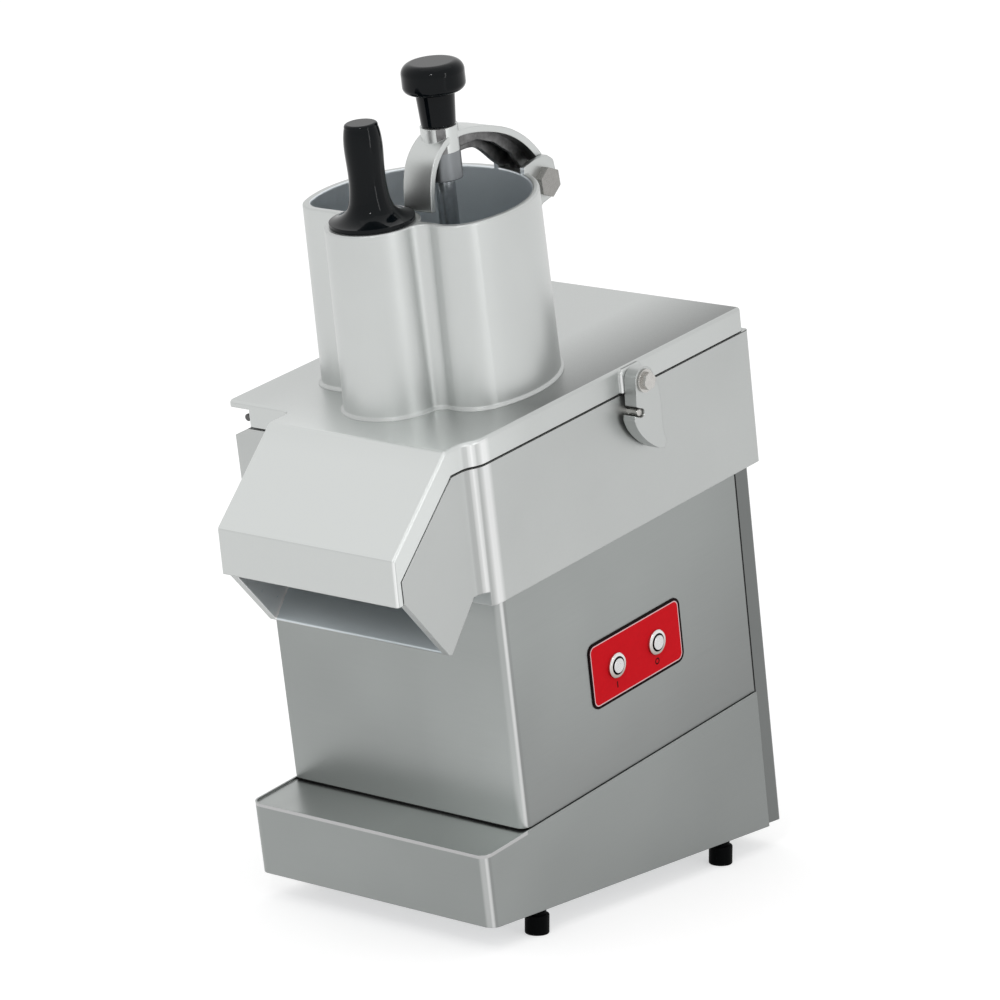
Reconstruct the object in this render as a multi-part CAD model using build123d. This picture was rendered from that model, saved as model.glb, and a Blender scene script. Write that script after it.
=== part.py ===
from build123d import *
import math
import os

# Lengths in mm. Everything is drawn upright in the body frame (x to the right, v to the rear along
# the sloping base, w up along the spindle) and leant forward about X at the end.
LEAN = 9.57
GROUND = -83.0
BASE_FLOOR = -61.6
FOOT_TOP = BASE_FLOOR - 5
SHEET = 1.5

# Base, casing and rear cover
BASE_LEFT = -127.5
BASE_RIGHT = 120.0
CASE_LEFT = BASE_LEFT + SHEET
CASE_RIGHT = BASE_RIGHT - 2
CASE_FRONT = 54.0
BODY_REAR = 364.0
COVER_REAR = BODY_REAR + 20
SHEET_CORNER = 9.0
COVER_CORNER = 4.0
SHADOW_GAP = 1.2
BASE_TOP = -SHEET

# Head casting
HEAD_UNDER = 196.0
HEAD_TOP = HEAD_UNDER + 115
HEAD_LEFT = BASE_LEFT - 8
HEAD_RIGHT = BASE_RIGHT + 1
HEAD_FRONT = 44.0
HEAD_REAR = BODY_REAR + 33
CHUTE_LEFT = -72.5
CHUTE_RIGHT = HEAD_RIGHT - 7.5
CHUTE_WALL = 7.0
HEAD_CORNER = 3.5
CAVITY_FLOOR = HEAD_UNDER + 18

# Spindle
SPIN_X = -4.5
SPIN_V = 152.0
SHAFT_R = 10.0
DISC_R = 102.5
CAVITY_R = DISC_R + 4.5
BELT_LOW = HEAD_UNDER - 111
BELT_HIGH = BELT_LOW + 20
DRIVEN_R = 50.0
DRIVE_R = 20.0
MOTOR_V = SPIN_V + 161.5
MOTOR_R = 44.0
MOTOR_SHAFT_R = 8.0

# Lid
SEAM = 0.8
SKIRT_LEFT = BASE_LEFT + 10.5
HOOD_LEFT = CHUTE_LEFT + 4
LEDGE_LEFT = HEAD_LEFT - 1.5
LID_REAR = HEAD_REAR - 7
LID_UNDER = HEAD_TOP + 16
LID_TOP = HEAD_TOP + 21.5
LID_ROUND = 3.0
HINGE_X = SKIRT_LEFT - 7
HINGE_W = HEAD_TOP + 5.5
HINGE_R = 3.0
HINGE_LUG_R = 6.0

# Hopper and feed tube
RIM = LID_TOP + 150.5
DRAFT = 0.8
HOPPER_IN = 90.0
HOPPER_WALL = 6.0
HOPPER_FLAT = SPIN_V - 47.5
HOPPER_CORNER = 24.0
CREASE = 10.0
TUBE_X = SPIN_X + 5.8
TUBE_V = SPIN_V - 63.5
TUBE_IN = 31.5
TUBE_WALL = 6.5

# Presser and its arm
ARM_X = 19.0
ROD_V = SPIN_V + 7
ROD_R = 8.0
ARM_HALF = 14.0
ARM_BOSS_R = 15.0
ARM_BOSS_LOW = RIM + 17.5
ARM_BOSS_HIGH = RIM + 60.5
BOLT_V = SPIN_V + 105.4
BOLT_W = RIM - 12.9
BOLT_R = 6.0
ARM_HINGE_R = BOLT_V - SPIN_V - HOPPER_IN - HOPPER_WALL - 0.3
PLATE_LOW = LID_TOP + 5.5
PLATE_THICK = 5.0
KNOB_LOW = ARM_BOSS_HIGH + 0.8
KNOB_WAIST = KNOB_LOW + 26.7
KNOB_HIGH = KNOB_WAIST + 24
KNOB_R = 25.2

# Latch
PIVOT_V = 237.5
PIVOT_W = HEAD_TOP + 9.5
PIN_V = PIVOT_V - 7.5
PIN_W = PIVOT_W - 25
PIN_R = 3.3
HOOK_IN = HEAD_RIGHT + 3.1
HOOK_OUT = HOOK_IN + 11.8
LATCH_BOLT_R = 4.0

# Controls
BUTTON_W = 92.5
START_V = 185.4
STOP_V = START_V + 53.3
BUTTON_R = 6.2
RING_R = 9.0
BUTTON_TRAVEL = 3.0
PANEL_V = 213.4
PANEL_LONG = 121.6
PANEL_HIGH = 56.4
PANEL_W = 91.9
PANEL_OUT = CASE_RIGHT + 0.8

RUN = 0.06


def box(x0, x1, v0, v1, w0, w1):
    middle = Pos((x0 + x1) / 2, (v0 + v1) / 2, (w0 + w1) / 2)
    return middle * Box(x1 - x0, v1 - v0, w1 - w0)


def post(x, v, radius, w0, w1):
    return Pos(x, v, (w0 + w1) / 2) * Cylinder(radius, w1 - w0)


def cross(v, w, radius, x0, x1):
    return Pos((x0 + x1) / 2, v, w) * Rot(0, 90, 0) * Cylinder(radius, x1 - x0)


def along(x, w, radius, v0, v1):
    return Pos(x, (v0 + v1) / 2, w) * Rot(90, 0, 0) * Cylinder(radius, v1 - v0)


def hex_across(v, w, flats, x0, x1, turn):
    plane = Plane(origin=(x0, v, w), x_dir=(0, 1, 0), z_dir=(1, 0, 0))
    return extrude(plane * Rot(0, 0, turn) * RegularPolygon(flats / 2, 6, major_radius=False), x1 - x0)


def outline(corners):
    """Closed outline of (a, b, corner radius)."""
    face = make_face(Polyline(*[(a, b) for a, b, r in corners], close=True))
    for a, b, r in corners:
        if r:
            corner = face.vertices().sort_by_distance((a, b, 0))[0]
            face = fillet(corner, r)
    return face


def prism(corners, w0, w1):
    return extrude(Pos(0, 0, w0) * outline(corners), w1 - w0)


def side(corners, x0, x1):
    """Outline in v and w, pushed across the machine."""
    return extrude(Plane.YZ.offset(x0) * outline(corners), x1 - x0)


def section(corners, v0, v1):
    """Outline in x and w, pushed from front to rear."""
    plane = Plane(origin=(0, v1, 0), x_dir=(1, 0, 0), z_dir=(0, -1, 0))
    return extrude(plane * outline(corners), v1 - v0)


def plain(points):
    return [(a, b, 0) for a, b in points]


def floor_w(v, height=BASE_FLOOR):
    """Height in the body frame of a level plane, at depth v."""
    lean = math.radians(LEAN)
    return (height - v * math.sin(lean)) / math.cos(lean)


def rim_of(shape, slope):
    """Outer edges of the faces that look up more than slope, or down if slope is negative."""
    faces = [f for f in shape.faces() if f.normal_at(f.center()).Z * slope > slope * slope]
    edges = [e for f in faces for e in f.edges()]
    return [e for e in edges if sum((o.center() - e.center()).length < 1e-4 for o in edges) == 1]


def right_front(low):
    """Right-hand outline from the chute cheek to the side wall."""
    return [(CHUTE_RIGHT, low, 0), (CHUTE_RIGHT, 36.4, 18), (HEAD_RIGHT, 46.9, 18)]


# Base housing: leaning top sheet set below the rim of the side sheets, level bottom edge.
def base_block(inset, top):
    front = inset
    left = BASE_LEFT + inset
    right = BASE_RIGHT - inset
    corner = SHEET_CORNER - inset
    plan = [(right, front, corner), (right, BODY_REAR, 0), (left, BODY_REAR, 0), (left, front, corner)]
    wedge = [(-5, top), (BODY_REAR + 5, top), (BODY_REAR + 5, floor_w(BODY_REAR + 5)), (-5, floor_w(-5))]
    return prism(plan, -160, 10) & side(plain(wedge), BASE_LEFT, BASE_RIGHT)


top_sheet = base_block(SHEET, BASE_TOP) - base_block(SHEET, BASE_TOP - SHEET)
base_housing = base_block(0, 0) - base_block(SHEET, 5) + top_sheet

# Floor plate of the base with the four studs through it.
FEET = [(x, y) for x in (BASE_LEFT + 10, BASE_RIGHT - 10) for y in (78, BODY_REAR - 40)]
plate_top = BASE_FLOOR + 2
floor_band = [(-5, floor_w(-5)), (BODY_REAR, floor_w(BODY_REAR)),
              (BODY_REAR, floor_w(BODY_REAR, plate_top)), (-5, floor_w(-5, plate_top))]
base_plate = base_block(SHEET, -10) & side(plain(floor_band), BASE_LEFT, BASE_RIGHT)

# Motor casing: front and both sides in one bent sheet, with rear and bottom flanges.
def case_block(inset, w0, w1, rear):
    left = CASE_LEFT + inset
    right = CASE_RIGHT - inset
    front = CASE_FRONT + inset
    corner = max(SHEET_CORNER - inset, 0)
    plan = [(right, front, corner), (right, rear, 0), (left, rear, 0), (left, front, max(corner - 6, 0))]
    return prism(plan, w0, w1)


motor_casing = case_block(0, BASE_TOP + SHADOW_GAP, HEAD_UNDER, BODY_REAR)
motor_casing -= case_block(SHEET, BASE_TOP, HEAD_UNDER + 1, BODY_REAR + 1)
flange = case_block(SHEET, BASE_TOP, BASE_TOP + 2 * SHEET, BODY_REAR)
flange -= case_block(14, BASE_TOP - 1, BASE_TOP + 3 * SHEET, BODY_REAR + 1)
motor_casing += flange
SCREWS = [(x, w) for x in (CASE_LEFT + 12.5, CASE_RIGHT - 12.5) for w in (25, HEAD_UNDER - 26)]
for x0, x1 in ((CASE_LEFT + 1, CASE_LEFT + 16), (CASE_RIGHT - 16, CASE_RIGHT - 1)):
    motor_casing += box(x0, x1, BODY_REAR - SHEET, BODY_REAR, BASE_TOP, HEAD_UNDER)
for x, w in SCREWS:
    motor_casing += along(x, w, 3.5, BODY_REAR - SHEET, COVER_REAR - SHEET)
    motor_casing -= along(x, w, 2, BODY_REAR - 10, COVER_REAR)

# Rear cover: shallow tray over the open back, with the cable gland low on its left.
GLAND_X = -75.0
GLAND_W = 20.0


def cover_block(inset, front):
    left = CASE_LEFT + inset
    right = CASE_RIGHT - inset
    rear = COVER_REAR - inset
    corner = COVER_CORNER - inset
    plan = [(right, front, 0), (right, rear, corner), (left, rear, corner), (left, front, 0)]
    low = [(front, HEAD_UNDER - inset), (rear, HEAD_UNDER - inset),
           (rear, floor_w(rear, BASE_FLOOR + 2 + inset)), (front, floor_w(front, BASE_FLOOR + 2 + inset))]
    return prism(plan, -160, HEAD_UNDER + 4) & side(plain(low), CASE_LEFT, CASE_RIGHT)


rear_cover = cover_block(0, BODY_REAR + SHADOW_GAP / 2) - cover_block(SHEET, BODY_REAR - 5)
rear_cover_screws = Part()
for x, w in SCREWS:
    rear_cover -= along(x, w, 2, COVER_REAR - 5, COVER_REAR + 1)
    head = fillet(along(x, w, 4.5, COVER_REAR, COVER_REAR + 2.6).edges().group_by(Axis.Y)[-1], 1.5)
    rear_cover_screws += head + along(x, w, 2, BODY_REAR - 6, COVER_REAR)
rear_cover -= along(GLAND_X, GLAND_W, 8, COVER_REAR - 5, COVER_REAR + 1)
cable_gland = along(GLAND_X, GLAND_W, 8, COVER_REAR - 10, COVER_REAR)
cable_gland += Pos(GLAND_X, COVER_REAR + 2.5, GLAND_W) * Rot(90, 0, 0) * extrude(
    RegularPolygon(11, 6, major_radius=False), 2.5, both=True)
cable_gland += Pos(GLAND_X, COVER_REAR + 9, GLAND_W) * Rot(-90, 0, 0) * Cone(9.5, 7, 8)
cable_gland -= along(GLAND_X, GLAND_W, 4, COVER_REAR - 12, COVER_REAR + 15)

# Head casting: cutting chamber, chute with two cheeks, and a hollow at the rear over the motor.
CHEEK_LEFT = CHUTE_LEFT + CHUTE_WALL
CHEEK_RIGHT = CHUTE_RIGHT - CHUTE_WALL
head_plan = right_front(-80) + [(HEAD_RIGHT, HEAD_REAR, HEAD_CORNER), (HEAD_LEFT, HEAD_REAR, HEAD_CORNER),
                                (HEAD_LEFT, HEAD_FRONT, 5), (CHUTE_LEFT, HEAD_FRONT, 10),
                                (CHUTE_LEFT, -80, 0)]
head_side = plain([(19.7, HEAD_TOP), (-50.2, HEAD_TOP - 61.3), (-50.2, HEAD_TOP - 79),
                   (-5.9, HEAD_UNDER - 23.4), (-2.7, HEAD_UNDER - 24.2), (30, HEAD_UNDER + 11.8),
                   (HEAD_FRONT, HEAD_UNDER + 12), (HEAD_FRONT, HEAD_UNDER), (HEAD_REAR, HEAD_UNDER),
                   (HEAD_REAR, HEAD_TOP)])
cutting_chamber = prism(head_plan, HEAD_UNDER - 46, HEAD_TOP + 9) & side(head_side, HEAD_LEFT, HEAD_RIGHT)
channel_low = HEAD_UNDER - 21.7
channel = plain([(-8.5, channel_low), (27.6, CAVITY_FLOOR), (SPIN_V, CAVITY_FLOOR), (SPIN_V, HEAD_TOP + 9),
                 (-70, HEAD_TOP + 9), (-70, channel_low)])
cutting_chamber -= side(channel, CHEEK_LEFT, CHEEK_RIGHT)
cutting_chamber -= post(SPIN_X, SPIN_V, CAVITY_R, CAVITY_FLOOR, HEAD_TOP + 9)
cutting_chamber -= prism([(HEAD_LEFT + 8, 265, 8), (HEAD_RIGHT - 8, 265, 8), (HEAD_RIGHT - 8, HEAD_REAR - 8, 8),
                          (HEAD_LEFT + 8, HEAD_REAR - 8, 8)], HEAD_UNDER - 6, HEAD_TOP - 8)
cutting_chamber -= section(plain([(SKIRT_LEFT, HEAD_TOP), (HEAD_LEFT, HEAD_TOP - 9), (HEAD_LEFT - 2, HEAD_TOP - 9),
                                  (HEAD_LEFT - 2, HEAD_TOP + 9), (SKIRT_LEFT, HEAD_TOP + 9)]), 30, HEAD_REAR + 5)
cutting_chamber -= post(SPIN_X, SPIN_V, 15, HEAD_UNDER - 6, CAVITY_FLOOR + 6)

# Hinge on the left: lugs of the chamber at both ends, lugs of the lid between them.
LUGS_FIXED = [(70, 95), (LID_REAR - 45, LID_REAR - 20)]
LUGS_LID = [(95.5, 125), (LID_REAR - 75, LID_REAR - 45.5)]
for v0, v1 in LUGS_FIXED:
    foot = box(HINGE_X - HINGE_LUG_R, HINGE_X + HINGE_LUG_R, v0, v1, HEAD_TOP - 12, HINGE_W)
    cutting_chamber += foot + along(HINGE_X, HINGE_W, HINGE_LUG_R, v0, v1)
    cutting_chamber -= along(HINGE_X, HINGE_W, HINGE_R, v0 - 1, v1 + 1)
hinge_pin = chamfer(along(HINGE_X, HINGE_W, HINGE_R, 51, LID_REAR - 18).edges(), 0.6)

# Rubber rests let into the rim of the chamber carry the lid.
RESTS = [(x, v) for x in (SKIRT_LEFT + 3.5, HEAD_RIGHT - 4) for v in (90, LID_REAR - 55)]
lid_pads = Part()
for x, v in RESTS:
    cutting_chamber -= post(x, v, 3, HEAD_TOP - 3, HEAD_TOP + 2)
    lid_pads += post(x, v, 3, HEAD_TOP - 3, HEAD_TOP + SEAM)

catch_pin = cross(PIN_V, PIN_W, PIN_R, HEAD_RIGHT - 13, HOOK_OUT - 2)
cutting_chamber -= cross(PIN_V, PIN_W, PIN_R, HEAD_RIGHT - 13, HEAD_RIGHT + 9)
catch_pin = chamfer(catch_pin.edges().group_by(Axis.X)[-1], 0.6)

# Bearing housing hung under the chamber floor, its screws, bearings and seal.
HOUSING_LOW = HEAD_UNDER - 84
FLANGE_LOW = HEAD_UNDER - 8
bearing_housing = post(SPIN_X, SPIN_V, 38, FLANGE_LOW, HEAD_UNDER)
bearing_housing += post(SPIN_X, SPIN_V, 27, HOUSING_LOW, FLANGE_LOW)
bearing_housing -= post(SPIN_X, SPIN_V, 19, HOUSING_LOW - 1, HEAD_UNDER + 1)
bearing_housing -= post(SPIN_X, SPIN_V, 21, HOUSING_LOW - 1, HOUSING_LOW + 16)
bearing_housing -= post(SPIN_X, SPIN_V, 21, HEAD_UNDER - 20, HEAD_UNDER + 1)
bearing_screws = Part()
for k in range(4):
    turn = math.radians(45 + 90 * k)
    x = SPIN_X + 32.5 * math.cos(turn)
    v = SPIN_V + 32.5 * math.sin(turn)
    screw = post(x, v, 3, FLANGE_LOW, HEAD_UNDER + 12)
    bearing_housing -= screw
    cutting_chamber -= screw
    bearing_screws += screw + post(x, v, 4.9, FLANGE_LOW - 6, FLANGE_LOW)
    bearing_screws -= post(x, v, 2.5, FLANGE_LOW - 7, FLANGE_LOW - 3)
spindle_bearings = post(SPIN_X, SPIN_V, 21, HOUSING_LOW + 2, HOUSING_LOW + 16)
spindle_bearings += post(SPIN_X, SPIN_V, 21, HEAD_UNDER - 20, HEAD_UNDER - 6)
spindle_bearings -= post(SPIN_X, SPIN_V, SHAFT_R + RUN, HOUSING_LOW, HEAD_UNDER)
spindle_seal = post(SPIN_X, SPIN_V, 15, HEAD_UNDER + 7, CAVITY_FLOOR - 1)
spindle_seal -= post(SPIN_X, SPIN_V, SHAFT_R + RUN, HEAD_UNDER, CAVITY_FLOOR)

# Spindle with its pulley, ejector and cutting disc.
drive_shaft = chamfer(post(SPIN_X, SPIN_V, SHAFT_R, BELT_LOW - 5, HEAD_TOP + 9).edges(), 1)


def pulley(x, v, radius, bore):
    """Flat-belt wheel with two flanges."""
    wheel = post(x, v, radius, BELT_LOW, BELT_HIGH)
    for w in (BELT_LOW, BELT_HIGH - 2):
        wheel += post(x, v, radius + 3, w, w + 2)
    return wheel - post(x, v, bore, BELT_LOW - 1, BELT_HIGH + 1)


driven_pulley = pulley(SPIN_X, SPIN_V, DRIVEN_R, SHAFT_R)
motor_pulley = pulley(SPIN_X, MOTOR_V, DRIVE_R, MOTOR_SHAFT_R)
for k in range(5):
    spot = Rot(0, 0, 72 * k) * Pos(32, 0, 0) * Cylinder(9, 60)
    driven_pulley -= Pos(SPIN_X, SPIN_V, BELT_LOW + 10) * spot


# Belt: loop round both wheels between their flanges.
def belt_loop(extra):
    """Outline touching both wheels, widened by extra."""
    big = DRIVEN_R + extra
    small = DRIVE_R + extra
    span = MOTOR_V - SPIN_V
    lean = math.asin((DRIVEN_R - DRIVE_R) / span)
    ring = Polyline(*[(x_side * r * math.cos(lean) + SPIN_X, v + r * math.sin(lean))
                      for x_side, r, v in ((1, big, SPIN_V), (1, small, MOTOR_V),
                                           (-1, small, MOTOR_V), (-1, big, SPIN_V))], close=True)
    loop = make_face(ring)
    loop += Pos(SPIN_X, SPIN_V) * Circle(big)
    loop += Pos(SPIN_X, MOTOR_V) * Circle(small)
    return loop


drive_belt = extrude(Pos(0, 0, BELT_LOW + 3) * (belt_loop(2.5) - belt_loop(RUN)), BELT_HIGH - BELT_LOW - 6)

EJECTOR = CAVITY_FLOOR + 8
ejector_disc = post(SPIN_X, SPIN_V, CAVITY_R - 3, EJECTOR, EJECTOR + 4)
ejector_disc += post(SPIN_X, SPIN_V, 22, EJECTOR - 5, EJECTOR + 18)
for k in range(4):
    vane = Rot(0, 0, 45 + 90 * k) * Pos(60, 0, 0) * Box(80, 5, 20)
    ejector_disc += Pos(SPIN_X, SPIN_V, EJECTOR + 14) * vane
ejector_disc -= post(SPIN_X, SPIN_V, SHAFT_R, EJECTOR - 10, EJECTOR + 30)

DISC_TOP = HEAD_TOP + 6
cutting_disc = post(SPIN_X, SPIN_V, DISC_R, DISC_TOP - 4, DISC_TOP)
cutting_disc += post(SPIN_X, SPIN_V, 22, DISC_TOP - 19, DISC_TOP + 4)
cutting_disc -= post(SPIN_X, SPIN_V, SHAFT_R, DISC_TOP - 30, DISC_TOP + 10)
disc_blades = Part()
SLOT_LONG = DISC_R - 34.5
SLOT_MID = (DISC_R + 21.5) / 2
for k in range(3):
    seat = Pos(SPIN_X, SPIN_V, DISC_TOP) * Rot(0, 0, 120 * k)
    cutting_disc -= seat * Pos(SLOT_MID, 6, -2) * Box(SLOT_LONG, 9, 10)
    blade = Pos(SLOT_MID, 13, 1) * Box(SLOT_LONG + 4, 14, 2)
    tip = chamfer(Box(SLOT_LONG + 4, 3, 2).edges().filter_by(Axis.X).group_by(Axis.Y)[0], 0.8)
    disc_blades += seat * (blade + Pos(SLOT_MID, 5.5, 1) * tip)

# Motor on a plate hung from the chamber floor by four long bolts in tubes.
MOTOR_PLATE = BELT_HIGH + 5
motor_body = post(SPIN_X, MOTOR_V, MOTOR_R, MOTOR_PLATE + 6, HEAD_TOP - 26)
motor_body = fillet(motor_body.edges(), 4)
for k in range(16):
    fin = Rot(0, 0, 22.5 * k) * Pos(MOTOR_R + 0.5, 0, 0) * Box(5, 2, 110)
    motor_body += Pos(SPIN_X, MOTOR_V, (MOTOR_PLATE + HEAD_TOP - 31) / 2) * fin
motor_body += post(SPIN_X, MOTOR_V, 15, MOTOR_PLATE + 1, MOTOR_PLATE + 6)
motor_body -= post(SPIN_X, MOTOR_V, MOTOR_SHAFT_R + RUN, MOTOR_PLATE, MOTOR_PLATE + 70)
motor_shaft = chamfer(post(SPIN_X, MOTOR_V, MOTOR_SHAFT_R, BELT_LOW - 5, MOTOR_PLATE + 69).edges(), 1)
PLATE_REACH = [(x, v, 8) for x, v in ((-88, 196), (79, 196), (79, BODY_REAR - 2), (-88, BODY_REAR - 2))]
motor_plate = prism(PLATE_REACH, MOTOR_PLATE, MOTOR_PLATE + 6)
motor_plate -= post(SPIN_X, MOTOR_V, 15, MOTOR_PLATE - 5, MOTOR_PLATE + 10)
motor_standoffs = Part()
motor_bolts = Part()
for x in (-78, 69):
    for v in (206, 254):
        motor_plate -= post(x, v, 4, MOTOR_PLATE - 5, MOTOR_PLATE + 10)
        cutting_chamber -= post(x, v, 4, HEAD_UNDER - 6, HEAD_UNDER + 13)
        motor_standoffs += post(x, v, 8, MOTOR_PLATE + 6, HEAD_UNDER) - post(x, v, 4, MOTOR_PLATE, HEAD_UNDER + 4)
        cap = extrude(Pos(x, v, MOTOR_PLATE - 5) * RegularPolygon(6.5, 6, major_radius=False), 5)
        motor_bolts += cap + post(x, v, 4, MOTOR_PLATE, HEAD_UNDER + 13)

# Lid: shallow box with a hood over the chute, open to the hopper and the feed tube.
lid_plan = right_front(-80) + [(HEAD_RIGHT, LID_REAR, HEAD_CORNER), (SKIRT_LEFT, LID_REAR, HEAD_CORNER),
                               (SKIRT_LEFT, HEAD_FRONT, 4), (HOOD_LEFT, HEAD_FRONT, 10),
                               (HOOD_LEFT, -80, 0)]
hood_side = plain([(HEAD_REAR, HEAD_TOP + SEAM), (19.4, HEAD_TOP + SEAM), (-51, HEAD_TOP - 61),
                   (-51, HEAD_TOP - 80), (-58, HEAD_TOP - 80)])
hood_side += [(-57, HEAD_TOP - 42, 4), (16, LID_TOP, 6), (HEAD_REAR, LID_TOP, 0)]
lid = prism(lid_plan, HEAD_TOP - 111, LID_TOP + 8)
ledge = prism([(-60, HEAD_FRONT, 0), (-60, LID_REAR, 0), (LEDGE_LEFT, LID_REAR, HEAD_CORNER),
               (LEDGE_LEFT, HEAD_FRONT, 5)], LID_UNDER, LID_TOP)
lid = (lid + ledge) & side(hood_side, LEDGE_LEFT, HEAD_RIGHT)
lid = fillet(rim_of(lid, 0.3), LID_ROUND)
lid -= prism([(SKIRT_LEFT + 7, 51, 5), (HEAD_RIGHT - 8, 51, 5), (HEAD_RIGHT - 8, LID_REAR - 7, 6),
              (SKIRT_LEFT + 7, LID_REAR - 7, 6)], HEAD_TOP - 11, LID_UNDER)
hood_inside = plain([(60, LID_UNDER), (18.05, LID_UNDER), (-51, LID_UNDER - 60.1),
                     (-51, HEAD_TOP - 91), (60, HEAD_TOP - 91)])
lid -= side(hood_inside, HOOD_LEFT + CHUTE_WALL, CHEEK_RIGHT)


def d_face(radius, flat, corner):
    """Circle about the spindle with a flat front, its two corners rounded."""
    face = Pos(SPIN_X, SPIN_V) * Circle(radius) - Pos(SPIN_X, flat - 100) * Rectangle(300, 200)
    ends = [p for p in face.vertices() if abs(p.Y - flat) < 0.01]
    return fillet(ends, corner)


BORE_LOW = LID_UNDER - 27
BORE_HIGH = RIM + 117
opening = extrude(Pos(0, 0, BORE_LOW) * d_face(HOPPER_IN, HOPPER_FLAT, HOPPER_CORNER), BORE_HIGH - BORE_LOW)
tube_bore = post(TUBE_X, TUBE_V, TUBE_IN, BORE_LOW, BORE_HIGH)
tube_high = TUBE_IN + TUBE_WALL
grow = (RIM - LID_TOP) * math.tan(math.radians(DRAFT))
tube_place = Pos(TUBE_X, TUBE_V, (LID_TOP + RIM) / 2)
tube_wall = tube_place * Cone(tube_high + grow, tube_high, RIM - LID_TOP)
lid -= opening - post(TUBE_X, TUBE_V, tube_high + grow, BORE_LOW, RIM)
lid -= tube_bore

# Hopper: drafted wall round the large opening and the feed tube, blended where they meet.
def hopper_outline(extra):
    """Outer outline of both walls, widened by extra."""
    flat = HOPPER_FLAT - HOPPER_WALL - extra
    big = d_face(HOPPER_IN + HOPPER_WALL + extra, flat, HOPPER_CORNER + HOPPER_WALL)
    face = big + Pos(TUBE_X, TUBE_V) * Circle(tube_high + extra)
    creases = [p for p in face.vertices()
               if abs(math.dist((p.X, p.Y), (TUBE_X, TUBE_V)) - tube_high - extra) < 0.01
               and abs(p.Y - flat) < 0.01]
    return fillet(creases, CREASE)


hopper = extrude(Pos(0, 0, LID_TOP) * hopper_outline(grow), RIM - LID_TOP, taper=DRAFT)
for k in range(3):
    bead_high = 2.4 - 0.8 * k
    hopper += extrude(Pos(0, 0, LID_TOP) * hopper_outline(grow + 0.8 * (k + 1) - 0.2), bead_high)
hopper -= opening - tube_wall
hopper -= tube_bore
hopper = fillet(hopper.edges().group_by(Axis.Z)[-1], 1.5)

# Ears at the rear of the hopper hold the hexagon bolt of the presser arm.
ear = [(BOLT_V + a, BOLT_W + b, r) for a, b, r in (
    (-25.5, 0, 0), (-23.5, 18.2, 2), (-9, 20.6, 4), (5, 21, 4), (13, 15, 4), (15, 4, 6),
    (10, -14, 5), (-6, -17, 6), (-21.5, -40, 0))]
EARS = [(ARM_X + ARM_HALF + 0.6, ARM_X + ARM_HALF + 5), (ARM_X - ARM_HALF - 5, ARM_X - ARM_HALF - 0.6)]
for x0, x1 in EARS:
    hopper += side(ear, x0, x1) - opening
    hopper -= cross(BOLT_V, BOLT_W, BOLT_R, x0 - 1, x1 + 1)

# Presser arm: bowed band from the tube wall over the opening, with a side web and a guide boss.
arm_left = ARM_X - ARM_HALF
arm_right = ARM_X + ARM_HALF


def from_rod(points):
    """Points given from the rod's axis at the height of the rim."""
    return [(ROD_V + a, RIM + b) for a, b in points]


def arm_piece(face, x0, x1):
    return extrude(Plane.YZ.offset(x0) * face, x1 - x0)


outer = from_rod([(-35.4, 0), (-33.3, 20), (-27.3, 37), (-16.6, 48), (-5, 53.6), (9, 55), (41, 49.5),
                  (66, 40.5), (89, 25), (106, 5)])
inner = from_rod([(-30.7, 0), (-28.6, 18.5), (-23, 33), (-13.5, 43.5), (-3, 48.8), (9, 50), (39, 44.8),
                  (63, 36), (85, 21), (100, 3)])
band = make_face([Spline(*outer), Line(outer[-1], inner[-1]), Spline(*inner), Line(inner[0], outer[0])])
presser_arm = arm_piece(band, arm_left, arm_right)
web_low = from_rod([(1, 22), (27, 28), (41, 28.5), (53, 25.5), (63, 18.5), (72, 10), (82, 2.5)])
web_top = from_rod([(82, 2.5), (90.6, 1), (90.6, -5), (103, 7), (85, 23), (63, 38), (39, 47), (9, 52.5), (1, 51)])
web = make_face([Line(web_top[-1], web_low[0]), Spline(*web_low), Polyline(*web_top)])
presser_arm += arm_piece(web, arm_left, arm_left + 4.5)
rib = from_rod([(9, 51), (13, 37), (41, 37), (61, 29), (81, 14), (92, -2), (103, 5), (87, 22), (63, 37.5),
                (39, 46.5)])
presser_arm += arm_piece(make_face(Polyline(*rib, close=True)), ARM_X - 2, ARM_X + 2)
presser_arm += cross(BOLT_V, BOLT_W, ARM_HINGE_R, arm_left, arm_right)
link = from_rod([(106, 5), (109, -8), (105, -18), (91, -17), (90.4, -9), (100, 3)])
presser_arm += arm_piece(make_face(Polyline(*link, close=True)), arm_left, arm_right)
presser_arm += post(ARM_X, ROD_V, ARM_BOSS_R, ARM_BOSS_LOW, ARM_BOSS_HIGH)
presser_arm -= post(ARM_X, ROD_V, ROD_R + RUN, RIM - 3, ARM_BOSS_HIGH + 17)
presser_arm -= cross(BOLT_V, BOLT_W, BOLT_R, arm_left - 1, arm_right + 1)

EAR_OUT = EARS[0][1]
EAR_IN = EARS[1][0]
arm_hinge_bolt = hex_across(BOLT_V, BOLT_W, 22, EAR_OUT, EAR_OUT + 6.5, 35)
arm_hinge_bolt &= cross(BOLT_V, BOLT_W, 12.5, EAR_OUT, EAR_OUT + 6.5)
arm_hinge_bolt += cross(BOLT_V, BOLT_W, BOLT_R, EAR_IN - 13, EAR_OUT)
arm_hinge_nut = hex_across(BOLT_V, BOLT_W, 18, EAR_IN - 10, EAR_IN, 30)
arm_hinge_nut -= cross(BOLT_V, BOLT_W, BOLT_R, EAR_IN - 11, EAR_IN + 1)

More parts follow.
